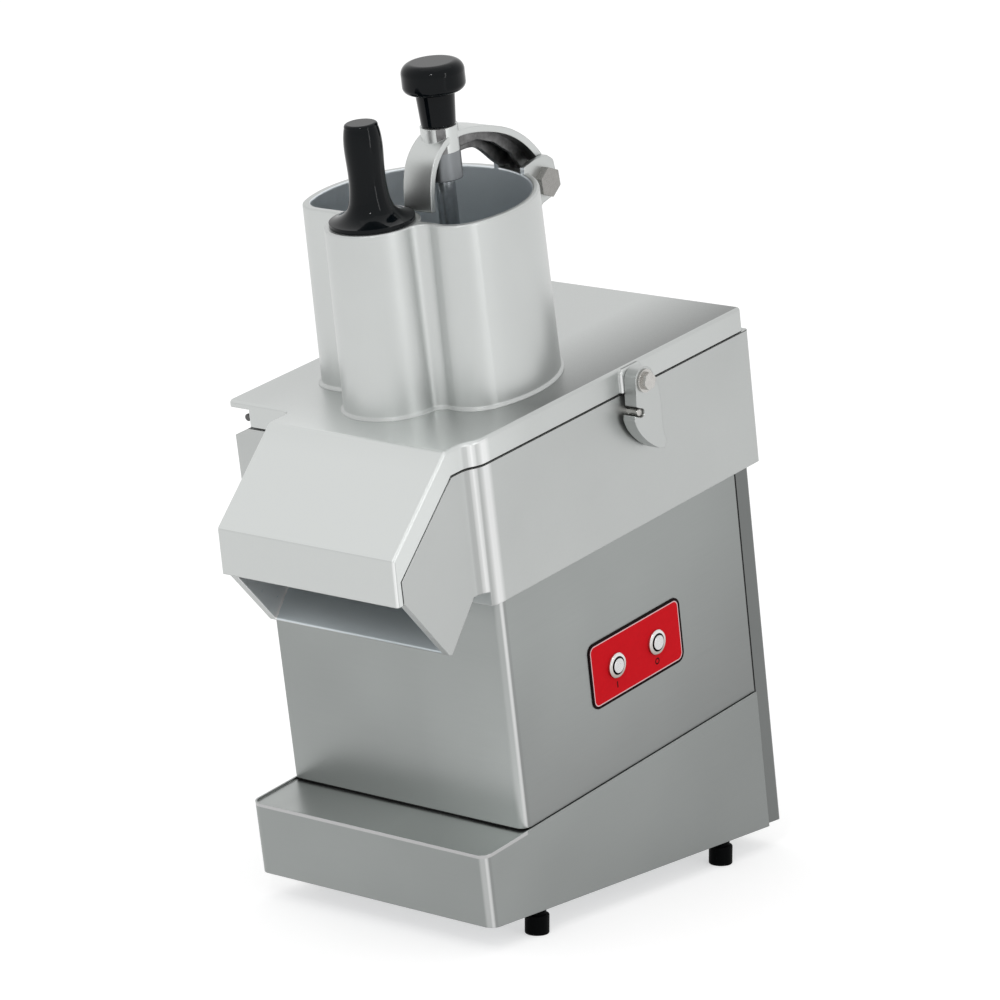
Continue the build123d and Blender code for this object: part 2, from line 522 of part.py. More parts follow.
# Presser: rod, plate that fits the large opening round the tube, and knob.
presser_plate = extrude(Pos(0, 0, PLATE_LOW) * d_face(HOPPER_IN - 0.8, HOPPER_FLAT + 0.8, HOPPER_CORNER),
                        PLATE_THICK)
presser_plate -= post(TUBE_X, TUBE_V, tube_high + grow + 0.8, PLATE_LOW - 8, PLATE_LOW + 12)
presser_plate += post(ARM_X, ROD_V, 14, PLATE_LOW + PLATE_THICK, PLATE_LOW + PLATE_THICK + 13)
presser_plate -= post(ARM_X, ROD_V, ROD_R, PLATE_LOW + 2, PLATE_LOW + 42)
presser_rod = post(ARM_X, ROD_V, ROD_R, PLATE_LOW + 2, KNOB_WAIST + 6)
knob_cap = post(ARM_X, ROD_V, KNOB_R, KNOB_WAIST, KNOB_HIGH)
knob_cap = fillet(knob_cap.edges().group_by(Axis.Z)[-1], 8.5)
knob_cap = fillet(knob_cap.edges().group_by(Axis.Z)[0], 6)
presser_knob = Pos(ARM_X, ROD_V, (KNOB_LOW + KNOB_WAIST) / 2) * Cone(13.8, 15.7, KNOB_WAIST - KNOB_LOW)
presser_knob = fillet((presser_knob + knob_cap).edges().group_by(Axis.Z)[0], 1)
presser_knob -= post(ARM_X, ROD_V, ROD_R, KNOB_LOW - 4, KNOB_WAIST + 6)

# Pestle: hollow plunger, flange that rests on the tube, flared handle.
PESTLE_LOW = LID_TOP + 11.5
flare = [(34, 3.5), (26, 6), (19, 11.5), (15.8, 21), (14.6, 42), (13.4, 77.5)]
shoulder = [(13.4, 77.5), (12.8, 79.7), (11.2, 80.5)]
half_shape = make_face([
    Polyline((0, PESTLE_LOW), (TUBE_IN - 0.5, PESTLE_LOW), (TUBE_IN - 0.5, RIM), (34, RIM), (34, RIM + 3.5)),
    Spline(*[(r, RIM + h) for r, h in flare]),
    Spline(*[(r, RIM + h) for r, h in shoulder]),
    Polyline((11.2, RIM + 80.5), (0, RIM + 80.5), (0, PESTLE_LOW)),
])
pestle = Pos(TUBE_X, TUBE_V, 0) * revolve(Plane.XZ * half_shape, Axis.Z)
pestle -= post(TUBE_X, TUBE_V, TUBE_IN - 4.5, PESTLE_LOW - 1, RIM - 9)

# Lid side of the hinge, overhang and latch boss.
for v0, v1 in LUGS_LID:
    arm_up = box(HINGE_X - HINGE_LUG_R, SKIRT_LEFT + 1, v0, v1, HINGE_W, LID_UNDER + 1)
    lid += arm_up + along(HINGE_X, HINGE_W, HINGE_LUG_R, v0, v1)
    lid -= along(HINGE_X, HINGE_W, HINGE_R + RUN, v0 - 1, v1 + 1)
pad = side([(PIVOT_V - 14, HEAD_TOP + SEAM, 0), (PIVOT_V + 14, HEAD_TOP + SEAM, 0),
            (PIVOT_V + 14, LID_TOP - 1, 5), (PIVOT_V - 14, LID_TOP - 1, 5)], HEAD_RIGHT - 4, HOOK_IN - 0.2)
lid += fillet(pad.edges().filter_by(Axis.Z).group_by(Axis.X)[-1], 2.4)
lid -= cross(PIVOT_V, PIVOT_W, LATCH_BOLT_R, HEAD_RIGHT - 21, HEAD_RIGHT + 9)

# Latch hook with its notch struck round the pivot, bolt and washer.
jaw = [(-17, -29), (-13.8, -37.5), (-7.2, -46.5), (1.5, -54.5), (10.5, -60.8)]
back = [(21, -58.5), (17.7, -42.5), (18.1, -24.5), (11.1, 1.5)]
hook = make_face([Spline(*jaw), Polyline(jaw[-1], (16.5, -62.5), back[0]), Spline(*back),
                  Polyline(back[-1], (-11.4, -0.5), (-13.2, -20.5), (-16, -24.5), jaw[0])])
hook += Circle(11.5)
reach = math.dist((PIVOT_V, PIVOT_W), (PIN_V, PIN_W))
slack = PIN_R + 0.4
pin_angle = math.degrees(math.atan2(PIN_W - PIVOT_W, PIN_V - PIVOT_V))
wedge_far = [(60 * math.cos(math.radians(a)), 60 * math.sin(math.radians(a)))
             for a in (pin_angle, pin_angle - 35, pin_angle - 70)]
sector = make_face(Polyline((0, 0), *wedge_far, close=True))
hook -= (Circle(reach + slack) - Circle(reach - slack)) & sector
hook -= Pos(PIN_V - PIVOT_V, PIN_W - PIVOT_W) * Circle(slack)
hook -= Circle(LATCH_BOLT_R + RUN)
hook = Pos(PIVOT_V, PIVOT_W) * hook
latch_hook = extrude(Plane.YZ.offset(HOOK_IN) * hook, HOOK_OUT - HOOK_IN)
latch_hook = latch_hook.solids().sort_by(SortBy.VOLUME)[-1]
WASHER_OUT = HOOK_OUT + 1.7
latch_washer = cross(PIVOT_V, PIVOT_W, 9.5, HOOK_OUT + 0.1, WASHER_OUT)
latch_washer -= cross(PIVOT_V, PIVOT_W, LATCH_BOLT_R, HOOK_OUT - 5, HOOK_OUT + 5)
latch_bolt = hex_across(PIVOT_V, PIVOT_W, 13, WASHER_OUT, WASHER_OUT + 4.2, 8)
latch_bolt &= cross(PIVOT_V, PIVOT_W, 7.2, WASHER_OUT, WASHER_OUT + 4.2)
latch_bolt += cross(PIVOT_V, PIVOT_W, LATCH_BOLT_R, HEAD_RIGHT - 7.5, WASHER_OUT)

# Control plate with two push buttons, their rings and contact blocks.
panel_corners = [(PANEL_V + a * PANEL_LONG / 2, PANEL_W + b * PANEL_HIGH / 2, 8)
                 for a, b in ((-1, -1), (1, -1), (1, 1), (-1, 1))]
control_plate = side(panel_corners, CASE_RIGHT, PANEL_OUT)
RING_OUT = PANEL_OUT + 3
BLOCK_OUT = CASE_RIGHT - 12


def ring(v):
    """Threaded sleeve with a collar outside the plate."""
    body = cross(v, BUTTON_W, RING_R, BLOCK_OUT, PANEL_OUT)
    collar = cross(v, BUTTON_W, RING_R + 1.5, PANEL_OUT, RING_OUT)
    collar = chamfer(collar.edges().group_by(Axis.X)[-1], 0.8)
    bore = cross(v, BUTTON_W, BUTTON_R + 0.1, BLOCK_OUT - 1, RING_OUT + 1)
    return body + collar - bore - cross(v, BUTTON_W, BUTTON_R + 1.3, PANEL_OUT, RING_OUT + 1)


def button(v):
    """Cap with a thin stem that reaches into the contact block."""
    cap = cross(v, BUTTON_W, BUTTON_R, BLOCK_OUT + 6, RING_OUT + 1.2)
    cap = fillet(cap.edges().group_by(Axis.X)[-1], 0.8)
    return cap + cross(v, BUTTON_W, 3, BLOCK_OUT - 10, BLOCK_OUT + 6)


def contact_block(v):
    """Block behind the ring with room for the stem to move."""
    block = box(BLOCK_OUT - 26, BLOCK_OUT, v - 13, v + 13, BUTTON_W - 13, BUTTON_W + 13)
    block -= cross(v, BUTTON_W, 3.4, BLOCK_OUT - 11 - BUTTON_TRAVEL, BLOCK_OUT + 4)
    return fillet(block.edges().filter_by(Axis.X), 2)


for v in (START_V, STOP_V):
    sleeve = cross(v, BUTTON_W, RING_R, CASE_RIGHT - 10, PANEL_OUT + 5)
    motor_casing -= sleeve
    control_plate -= sleeve
start_bezel = ring(START_V)
stop_bezel = ring(STOP_V)
start_button = button(START_V)
stop_button = button(STOP_V)
start_contact_block = contact_block(START_V)
stop_contact_block = contact_block(STOP_V)

# Control box, capacitor and the lid interlock.
WALL_IN = CASE_LEFT + SHEET
BOX_FRONT = CASE_FRONT + 26
CAP_FRONT = CASE_FRONT + 176
control_box = box(WALL_IN, WALL_IN + 44.5, BOX_FRONT, BOX_FRONT + 110, 25, 100)
control_box = fillet(control_box.edges().filter_by(Axis.X), 3)
capacitor = along(WALL_IN + 20, 60, 18, CAP_FRONT, CAP_FRONT + 80)
capacitor += box(WALL_IN, WALL_IN + 14, CAP_FRONT + 32, CAP_FRONT + 48, 50, 70)
SWITCH_X = HEAD_RIGHT - 61
SWITCH_V = HEAD_REAR - 97
lid_switch = box(SWITCH_X, SWITCH_X + 30, SWITCH_V, SWITCH_V + 20, HEAD_TOP - 20, HEAD_TOP - 8)
switch_magnet = box(SWITCH_X + 5, SWITCH_X + 25, SWITCH_V + 2, SWITCH_V + 18, HEAD_TOP + 4, LID_UNDER)


# Feet stand upright under the level floor plate.
def upright(x, y, radius, z0, z1):
    lean = Rot(-LEAN, 0, 0)
    return lean * Pos(x, y, (z0 + z1) / 2) * Cylinder(radius, z1 - z0)


feet = Part()
foot_studs = Part()
for x, y in FEET:
    rubber = Pos(x, y, (GROUND + FOOT_TOP) / 2) * Cylinder(10, FOOT_TOP - GROUND)
    rubber = fillet(rubber.edges(), 1.2)
    foot = Rot(-LEAN, 0, 0) * rubber + upright(x, y, 7.5, FOOT_TOP - 1, BASE_FLOOR)
    feet += foot - upright(x, y, 4, FOOT_TOP - 11, BASE_FLOOR + 1)
    foot_studs += upright(x, y, 4, FOOT_TOP - 11, plate_top + 11)
    foot_studs += upright(x, y, 6.5, plate_top, plate_top + 6)
    base_plate -= upright(x, y, 4, BASE_FLOOR - 5, plate_top + 5)

NODES = {
    "base_housing": base_housing, "base_plate": base_plate, "feet": feet, "foot_studs": foot_studs,
    "motor_casing": motor_casing, "rear_cover": rear_cover, "rear_cover_screws": rear_cover_screws,
    "cable_gland": cable_gland, "cutting_chamber": cutting_chamber, "hinge_pin": hinge_pin,
    "lid_pads": lid_pads, "catch_pin": catch_pin, "bearing_housing": bearing_housing,
    "bearing_screws": bearing_screws, "spindle_bearings": spindle_bearings,
    "spindle_seal": spindle_seal, "drive_shaft": drive_shaft, "driven_pulley": driven_pulley,
    "drive_belt": drive_belt, "motor_pulley": motor_pulley, "motor_shaft": motor_shaft,
    "motor_body": motor_body, "motor_plate": motor_plate, "motor_standoffs": motor_standoffs,
    "motor_bolts": motor_bolts, "ejector_disc": ejector_disc, "cutting_disc": cutting_disc,
    "disc_blades": disc_blades, "lid": lid, "hopper": hopper, "presser_arm": presser_arm,
    "arm_hinge_bolt": arm_hinge_bolt, "arm_hinge_nut": arm_hinge_nut,
    "presser_plate": presser_plate, "presser_rod": presser_rod, "presser_knob": presser_knob,
    "pestle": pestle, "latch_hook": latch_hook, "latch_washer": latch_washer,
    "latch_bolt": latch_bolt, "control_plate": control_plate, "start_bezel": start_bezel,
    "stop_bezel": stop_bezel, "start_button": start_button, "stop_button": stop_button,
    "start_contact_block": start_contact_block, "stop_contact_block": stop_contact_block,
    "control_box": control_box, "capacitor": capacitor, "lid_switch": lid_switch,
    "switch_magnet": switch_magnet,
}

# Lean everything forward and stand it on the ground, centred in plan.
leant = {name: Rot(LEAN, 0, 0) * Compound(shape.solids()) for name, shape in NODES.items()}
whole = Compound(list(leant.values())).bounding_box()
SHIFT = (-(whole.min.X + whole.max.X) / 2, -(whole.min.Y + whole.max.Y) / 2, -whole.min.Z)
os.makedirs("parts", exist_ok=True)
for name, shape in leant.items():
    export_step(Pos(*SHIFT) * shape, f"parts/{name}.step")
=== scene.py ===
import bpy
import math
from mathutils import Matrix, Vector

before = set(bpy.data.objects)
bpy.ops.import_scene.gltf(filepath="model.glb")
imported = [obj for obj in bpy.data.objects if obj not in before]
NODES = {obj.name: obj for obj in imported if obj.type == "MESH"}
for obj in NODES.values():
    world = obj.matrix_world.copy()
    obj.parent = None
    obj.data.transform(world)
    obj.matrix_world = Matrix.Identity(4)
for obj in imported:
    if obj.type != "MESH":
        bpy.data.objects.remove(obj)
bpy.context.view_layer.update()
scene = bpy.context.scene

# Body frame of the machine in the row frame: v runs to the rear along the base, w up the spindle.
LEAN = math.radians(9.57)
SHIFT = Vector((-0.0024, -0.149373, 0.083))

# Places on the machine that the surface overlays and their painted light and shade refer to, in
# millimetres of the body frame.
SEAM_W = 311.4
SEAM_FRONT = 19.5
MOUTH_V = -51.0
HOOD_SLOPE = math.atan2(61.4, 70.5)
CHEEKS = (-65.5, 106.5)
CHUTE_LOW = 173.5
CHAMBER_END = 300.0
SEAM_HALF = (0.7, 1.0)
BEAD_HALF = (0.5, 1.9)
SHOULDER = 52.5
SHOULDER_HALF = (2, 7)
SPIN = (-4.5, 152.0)
CASE_FRONT = 54.0
CASE_END = 364.0
CASE_LOW = -0.3
PLATE_MID = (213.4, 91.9)
PLATE_HALF = (60.8, 28.2)
PLATE_CORNER = 8.0
START = (185.4, 92.5)
STOP = (238.7, 92.5)
PLATE_BORDER = 2.3
PLATE_LINE = 3.2
MARK_DROP = 17.0
BAR_HALF = (0.7, 2.7)
RING_RADIUS = 2.3
RING_HALF = 0.6
CAP_GAP = 7.7
ROD = (19.0, 159.0)
ARM_SIDE = 33.0
BOSS_R = 15.0
BOSS_FOOT = 523.0
BASE_TOP = -1.5
ACROSS, REAR, UP = (1, 0, 0), (0, 1, 0), (0, 0, 1)

MM = 0.001
RELIEF = 0.0001
DEEP_RELIEF = 0.0002


class Surface:
    """Principled material with short calls for its nodes."""

    def __init__(self, name, colour, metallic=0.0, roughness=0.4):
        self.mat = bpy.data.materials.new(name)
        self.mat.use_nodes = True
        self.tree = self.mat.node_tree
        self.bsdf = self.tree.nodes["Principled BSDF"]
        self.bsdf.inputs["Base Color"].default_value = (*colour, 1)
        self.bsdf.inputs["Metallic"].default_value = metallic
        self.bsdf.inputs["Roughness"].default_value = roughness
        coords = self.node("ShaderNodeTexCoord")
        self.body = self.turned(coords.outputs["Object"], -LEAN)
        self.body.node.inputs["Location"].default_value = -(Matrix.Rotation(-LEAN, 3, "X") @ SHIFT)
        self.facing = self.turned(coords.outputs["Normal"], -LEAN)

    def node(self, kind, **settings):
        made = self.tree.nodes.new(kind)
        for key, value in settings.items():
            setattr(made, key, value)
        return made

    def link(self, a, b):
        self.tree.links.new(a, b)

    def feed(self, socket, value):
        """A number goes into the socket as it is, anything else is linked."""
        if isinstance(value, (int, float)):
            socket.default_value = value
        else:
            self.link(value, socket)

    def turned(self, vector, angle):
        made = self.node("ShaderNodeMapping")
        made.inputs["Rotation"].default_value = (angle, 0, 0)
        self.link(vector, made.inputs["Vector"])
        return made.outputs["Vector"]

    def math(self, operation, a, b=0.0):
        made = self.node("ShaderNodeMath", operation=operation)
        self.feed(made.inputs[0], a)
        self.feed(made.inputs[1], b)
        return made.outputs[0]

    def above(self, value, limit):
        return self.math("GREATER_THAN", value, limit)

    def below(self, value, limit):
        return self.math("LESS_THAN", value, limit)

    def unsigned(self, value):
        return self.math("ABSOLUTE", value)

    def vector(self, operation, a, b=None):
        """Vector maths on a socket and, if given, a second socket or a tuple."""
        made = self.node("ShaderNodeVectorMath", operation=operation)
        self.link(a, made.inputs[0])
        if isinstance(b, tuple):
            made.inputs[1].default_value = b
        elif b is not None:
            self.link(b, made.inputs[1])
        return made.outputs["Value" if operation == "DOT_PRODUCT" else "Vector"]

    def dot(self, vector, direction):
        return self.vector("DOT_PRODUCT", vector, tuple(direction))

    def faces(self, direction, least):
        """1 where the surface looks along the direction, by more than the least share."""
        return self.above(self.dot(self.facing, direction), least)

    def along(self, direction, start=0.0):
        """Millimetres that a point lies beyond start, measured along a direction of the body frame."""
        return self.math("SUBTRACT", self.dot(self.body, [c / MM for c in direction]), start)

    def length(self, a, b):
        squares = self.math("MULTIPLY", a, a), self.math("MULTIPLY", b, b)
        return self.math("SQRT", self.math("ADD", *squares))

    def all_of(self, *masks):
        result = masks[0]
        for mask in masks[1:]:
            result = self.math("MULTIPLY", result, mask)
        return result

    def noise(self, scale, detail=4.0, roughness=0.6, stretch=None):
        made = self.node("ShaderNodeTexNoise")
        made.inputs["Scale"].default_value = scale
        made.inputs["Detail"].default_value = detail
        made.inputs["Roughness"].default_value = roughness
        place = self.body
        if stretch:
            mapping = self.node("ShaderNodeMapping")
            mapping.inputs["Scale"].default_value = stretch
            self.link(place, mapping.inputs["Vector"])
            place = mapping.outputs["Vector"]
        self.link(place, made.inputs["Vector"])
        return made.outputs["Fac"]

    def spread(self, value, low, high, start=0.3, end=0.7):
        """Value mapped from start..end to low..high."""
        made = self.node("ShaderNodeMapRange")
        made.inputs["From Min"].default_value = start
        made.inputs["From Max"].default_value = end
        made.inputs["To Min"].default_value = low
        made.inputs["To Max"].default_value = high
        self.link(value, made.inputs["Value"])
        return made.outputs["Result"]

    def mix(self, value, first, second):
        """First colour where the value is 0, second where it is 1."""
        made = self.node("ShaderNodeMix", data_type="RGBA")
        for socket, colour in ((made.inputs[6], first), (made.inputs[7], second)):
            if isinstance(colour, tuple):
                socket.default_value = (*colour, 1)
            else:
                self.link(colour, socket)
        self.feed(made.inputs[0], value)
        return made.outputs[2]

    def paint(self, colour):
        self.link(colour, self.bsdf.inputs["Base Color"])

    def rough(self, value, mean, swing):
        self.link(self.spread(value, mean - swing, mean + swing), self.bsdf.inputs["Roughness"])

    def bump(self, height, strength, distance, edge):
        """Relief of the surface, with the edges of the solid rounded by a radius."""
        made = self.node("ShaderNodeBump")
        made.inputs["Strength"].default_value = strength
        made.inputs["Distance"].default_value = distance
        self.link(height, made.inputs["Height"])
        rounded = self.node("ShaderNodeBevel", samples=6)
        rounded.inputs["Radius"].default_value = edge
        self.link(rounded.outputs["Normal"], made.inputs["Normal"])
        self.link(made.outputs["Normal"], self.bsdf.inputs["Normal"])


def shade(colour, factor):
    return tuple(c * factor for c in colour)


def grey(level, tint=(1, 1, 1)):
    return tuple(level * c for c in tint)


ALUMINIUM = (1, 1.03, 1.015)
STAINLESS = (1, 1.05, 1.03)
WARM = (1.03, 1.01, 0.97)
COOL = (0.95, 1, 1.04)
INNER_CASTING_LIT = (0.60, 0.655, 0.68)
INNER_HOPPER_LIT = (0.76, 0.80, 0.825)
PAINTED_HIGHLIGHT = grey(0.95)
BEND_SHADE = grey(0.18)
RIM_HIGHLIGHT = grey(0.46)
GAP = grey(0.015)
SEAM_SHADE = grey(0.02)
CAP_SHADE = grey(0.01)
BEAD_HIGHLIGHT = grey(0.8)
HOLLOW_SHADE_DARK, HOLLOW_SHADE_PALE = grey(0.10), grey(0.24)
BOSS_SHADE = grey(0.24, COOL)
LID_FORE_LIT = grey(0.66, ALUMINIUM)
LID_FRONT_SHADE = grey(0.54, ALUMINIUM)
LID_LEFT_LIT, LID_RIGHT_SHADE = grey(0.53, ALUMINIUM), grey(0.25, ALUMINIUM)
LID_NEAR_LIT = grey(0.76, ALUMINIUM)
SIDE_FOOT_SHADE = grey(0.16)
FRONT_FOOT_LIGHT = grey(0.55, STAINLESS)
COVER_FLANGE = grey(0.155, STAINLESS)
RING_SHADE, RING_LIT = (0.40, 0.35, 0.32), (0.70, 0.69, 0.68)
LABEL_RED = (0.66, 0.007, 0.014)
LABEL_LINE = (0.80, 0.52, 0.54)
LABEL_BORDER = (0.006, 0.001, 0.001)
LABEL_MARK = (0.045, 0.001, 0.001)


def casting(name, level, roughness, grain=0.12, edge=0.0013, extra=()):
    """Blasted aluminium with fine grain and faint clouds; extra overlays, among them painted light and
    shade, are laid over it in turn.
    """
    colour = grey(level, ALUMINIUM)
    s = Surface(name, colour, 1.0, roughness)
    fine = s.noise(1400, 2, 0.5)
    look = s.mix(s.spread(s.noise(9, 3, 0.5), 0, 1), shade(colour, 0.95), colour)
    for overlay in extra:
        look = overlay(s, look)
    s.paint(look)
    s.rough(fine, roughness, 0.045)
    s.bump(fine, grain, RELIEF, edge)
    return s.mat


def seam(s, look):
    """Painted shade along the joint of lid and chamber, level along the sides and then down the hood's
    slope.

    It lies on outer faces only, so the faces that meet in the joint stay bright when the lid opens.
    """
    normal = (0, -math.sin(HOOD_SLOPE), math.cos(HOOD_SLOPE))
    level = s.along(UP, SEAM_W)
    slope = s.along(normal, normal[1] * SEAM_FRONT + normal[2] * SEAM_W)
    mouth = s.along((0, -1, 0), -MOUTH_V)
    edge = s.unsigned(s.math("MAXIMUM", s.math("MAXIMUM", level, slope), mouth))
    wide = s.spread(s.along(REAR), *SEAM_HALF, SEAM_FRONT - 6, SEAM_FRONT)
    upright = s.below(s.unsigned(s.dot(s.facing, UP)), 0.6)
    sideways = s.above(s.unsigned(s.dot(s.facing, ACROSS)), 0.5)
    outer = s.math("MAXIMUM", sideways, s.above(s.along(REAR), SEAM_FRONT))
    # Painted shade: a dark strip on the outer faces beside the joint.
    return s.mix(s.all_of(s.below(edge, wide), upright, outer), look, SEAM_SHADE)


def chute_inside(s, look):
    """Painted light inside the chute and chamber: a paler, slightly blue tone that offsets the shade
    there, with a painted highlight on the bead of weld in the left corner.
    """
    within = s.all_of(s.above(s.along(ACROSS), CHEEKS[0] - 0.4),
                      s.below(s.along(ACROSS), CHEEKS[1] + 0.4),
                      s.above(s.along(UP), CHUTE_LOW),
                      s.below(s.along(UP), SEAM_W - 1.5),
                      s.below(s.along(REAR), CHAMBER_END),
                      s.faces(REAR, -0.92))
    # Painted light: paler, bluer tone inside the chute.
    look = s.mix(within, look, INNER_CASTING_LIT)
    beside = s.unsigned(s.along(ACROSS, CHEEKS[0] + 0.6))
    wavy = s.spread(s.noise(260, 3, 0.6), *BEAD_HALF)
    # Painted highlight along the weld bead.
    return s.mix(s.all_of(within, s.below(beside, wavy)), look, BEAD_HIGHLIGHT)


def lid_light_and_shade(s, look):
    """Painted light and shade on the lid: lighter to the front, its top also to the left, and its front
    face a little darker.
    """
    # Painted light towards the front and left, painted shade on the front face and to the right.
    look = s.mix(s.spread(s.along(REAR), 1.0, 0.0, 0, 110), look, LID_FORE_LIT)
    look = s.mix(s.below(s.dot(s.facing, REAR), -0.9), look, LID_FRONT_SHADE)
    side_to_side = s.spread(s.along(ACROSS), 0.0, 1.0, 30, 115)
    tone = s.mix(side_to_side, LID_LEFT_LIT, LID_RIGHT_SHADE)
    near = s.math("MULTIPLY", s.spread(s.along(REAR), 1.0, 0.0, 20, 130),
                  s.spread(s.along(ACROSS), 0.15, 1.0, -110, 20))
    tone = s.mix(near, tone, LID_NEAR_LIT)
    return s.mix(s.faces(UP, 0.97), look, tone)


def facing_spindle(s, look):
    """Painted light inside the hopper: a paler, slightly blue tone on walls that look towards the
    spindle, to offset the shade there.
    """
    from_spindle = s.vector("SUBTRACT", s.body, (SPIN[0] * MM, SPIN[1] * MM, 0))
    outward = s.vector("NORMALIZE", s.vector("MULTIPLY", from_spindle, (1, 1, 0)))
    # Painted light on the hopper's inner walls.
    return s.mix(s.below(s.vector("DOT_PRODUCT", outward, s.facing), -0.5), look, INNER_HOPPER_LIT)


def shaded_underside(s, look):
    """Painted shade, blotched, in the hollow of the arm's arch and on the foot of its boss."""
    down = s.below(s.dot(s.facing, UP), -0.12)
    rib = s.all_of(s.faces(ACROSS, 0.5),
                   s.below(s.along(ACROSS), ARM_SIDE - 1))
    from_rod = s.length(s.along(ACROSS, ROD[0]), s.along(REAR, ROD[1]))
    boss = s.all_of(s.below(from_rod, BOSS_R + 0.4), s.below(s.along(UP), BOSS_FOOT))
    blotch = s.mix(s.spread(s.noise(120, 4, 0.6), 0, 1), HOLLOW_SHADE_DARK, HOLLOW_SHADE_PALE)
    # Painted shade under the arch and on the boss's foot.
    look = s.mix(s.math("MAXIMUM", down, rib), look, blotch)
    return s.mix(boss, look, BOSS_SHADE)


def shoulder_highlight(s, look):
    """Painted highlight: a soft light band on the right side, where the second bend of the castings runs
    out.
    """
    band = s.spread(s.unsigned(s.along(REAR, SHOULDER)), 0.5, 0.0, *SHOULDER_HALF)
    # Painted highlight band on the right side.
    return s.mix(s.all_of(band, s.faces(ACROSS, 0.85),
                          s.above(s.along(ACROSS), CHEEKS[1] + 2)), look, PAINTED_HIGHLIGHT)


def bend_highlight(strength, broad=0.6):
    """Painted highlights along the middle of the bends between front and side, with painted shade beside
    them.
    """
    def overlay(s, look):
        wide = s.dot(s.facing, (0.57, -0.82, 0))
        line = s.dot(s.facing, (0.80, -0.60, 0))
        dull = s.dot(s.facing, (0.93, -0.37, 0))
        # Painted shade beside each bend, painted highlights along its middle.
        look = s.mix(s.spread(dull, 0, 0.3, 0.975, 0.997), look, BEND_SHADE)
        look = s.mix(s.spread(wide, 0, broad * strength, 0.91, 0.98), look, PAINTED_HIGHLIGHT)
        return s.mix(s.spread(line, 0, strength, 0.98, 0.999), look, PAINTED_HIGHLIGHT)
    return overlay


def sheet_steel(name, level, roughness=0.32, top=None, extra=()):
    """Brushed stainless sheet: fine level grain and soft clouds, darker towards the rear and foot.

    A top colour, if given, goes on faces that look up as painted light, and grows lighter from left to
    right.
    """
    colour = grey(level, STAINLESS)
    s = Surface(name, colour, 1.0, roughness)
    grain = s.noise(900, 3, 0.6, (0.02, 0.02, 1))
    look = s.mix(s.spread(s.noise(5, 2, 0.5), 0, 1), shade(colour, 0.9), shade(colour, 1.04))
    fade = s.spread(s.along((0, -0.83, 0.55)), 0.45, 0.0, -290, -40)
    look = s.mix(fade, look, shade(colour, 0.55))
    # Painted light: faces that look up get the paler top colour, lighter still to the right.
    if top:
        tone = s.mix(s.spread(s.along(ACROSS), 0, 1, -100, 10), shade(top, 0.88), shade(top, 1.45))
        look = s.mix(s.spread(s.dot(s.facing, UP), 0, 1, 0.9, 0.99), look, tone)
    for overlay in extra:
        look = overlay(s, look)
    s.paint(look)
    s.rough(grain, roughness, 0.035)
    s.bump(grain, 0.03, RELIEF, 0.0012)
    return s.mat


def casing_light_and_shade(s, look):
    """Painted shade on the casing's side towards its foot, and painted light on its front there to the
    right.
    """
    side = s.faces(ACROSS, 0.7)
    front = s.below(s.dot(s.facing, REAR), -0.7)
    low = s.spread(s.along(UP), 1.0, 0.0, 0, 150)
    # Painted shade low on the side, painted light low on the front to the right.
    look = s.mix(s.math("MULTIPLY", side, s.math("MULTIPLY", low, 0.35)), look, SIDE_FOOT_SHADE)
    right = s.math("MULTIPLY", low, s.spread(s.along(ACROSS), 0.0, 0.5, 20, 105))
    return s.mix(s.math("MULTIPLY", front, right), look, FRONT_FOOT_LIGHT)


def dark_foot(s, look):
    """Shaded edge where the casing stands on the base."""
    return s.mix(s.below(s.along(UP), CASE_LOW + 0.9), look, GAP)


def cover_side(s, look):
    """The rear cover's flanges are darker than its back."""
    return s.mix(s.above(s.unsigned(s.dot(s.facing, ACROSS)), 0.7), look, COVER_FLANGE)


def dark_end(s, look):
    """Shaded edge where the casing and the rear cover meet."""
    beside = s.unsigned(s.along(REAR, CASE_END + 0.3))
    return s.mix(s.below(beside, 1.0), look, GAP)


def rim_highlight(s, look):
    """Painted highlight along the edge round the front of the base, below its top."""
    edge = s.all_of(s.above(s.along(UP), BASE_TOP - 1.3),
                    s.below(s.dot(s.facing, UP), 0.6),
                    s.below(s.along(REAR), CASE_FRONT))
    # Painted highlight along the base's front edge.
    return s.mix(edge, look, RIM_HIGHLIGHT)


def plain_metal(name, level, roughness, tint=(1, 1, 1), edge=0.0006):
    colour = grey(level, tint)
    s = Surface(name, colour, 1.0, roughness)
    marks = s.noise(300)
    s.paint(s.mix(s.spread(marks, 0, 1), shade(colour, 0.85), colour))
    s.rough(marks, roughness, 0.07)
    s.bump(marks, 0.04, DEEP_RELIEF, edge)
    return s.mat


def button_steel(name, centre, ring):
    """Turned steel of a button: the ring has painted light above and painted shade below, and painted
    shade in the gap round the cap; the cap has fine turning marks.
    """
    s = Surface(name, grey(0.6), 1.0, 0.2)
    v = s.along(REAR, centre[0])
    w = s.along(UP, centre[1])
    radius = s.length(v, w)
    turning = s.math("SINE", s.math("MULTIPLY", radius, 14.0 if ring else 20.0))
    if ring:
        # Painted light above and painted shade below on the ring, painted shade in the cap's gap.
        look = s.mix(s.spread(w, 0, 1, -7, 6), RING_SHADE, RING_LIT)
        look = s.mix(s.below(radius, CAP_GAP), look, CAP_SHADE)
    else:
        across = s.node("ShaderNodeCombineXYZ")
        s.link(s.math("MULTIPLY", w, -1.0), across.inputs[1])
        s.link(v, across.inputs[2])
        s.link(s.turned(across.outputs[0], LEAN), s.bsdf.inputs["Tangent"])
        s.bsdf.inputs["Anisotropic"].default_value = 0.85
        look = s.mix(s.spread(turning, 0, 1, -1, 1), grey(0.5), grey(0.72))
    s.paint(look)
    s.rough(turning, 0.2, 0.03)
    s.bump(turning, 0.08, RELIEF, 0.0004)
    return s.mat


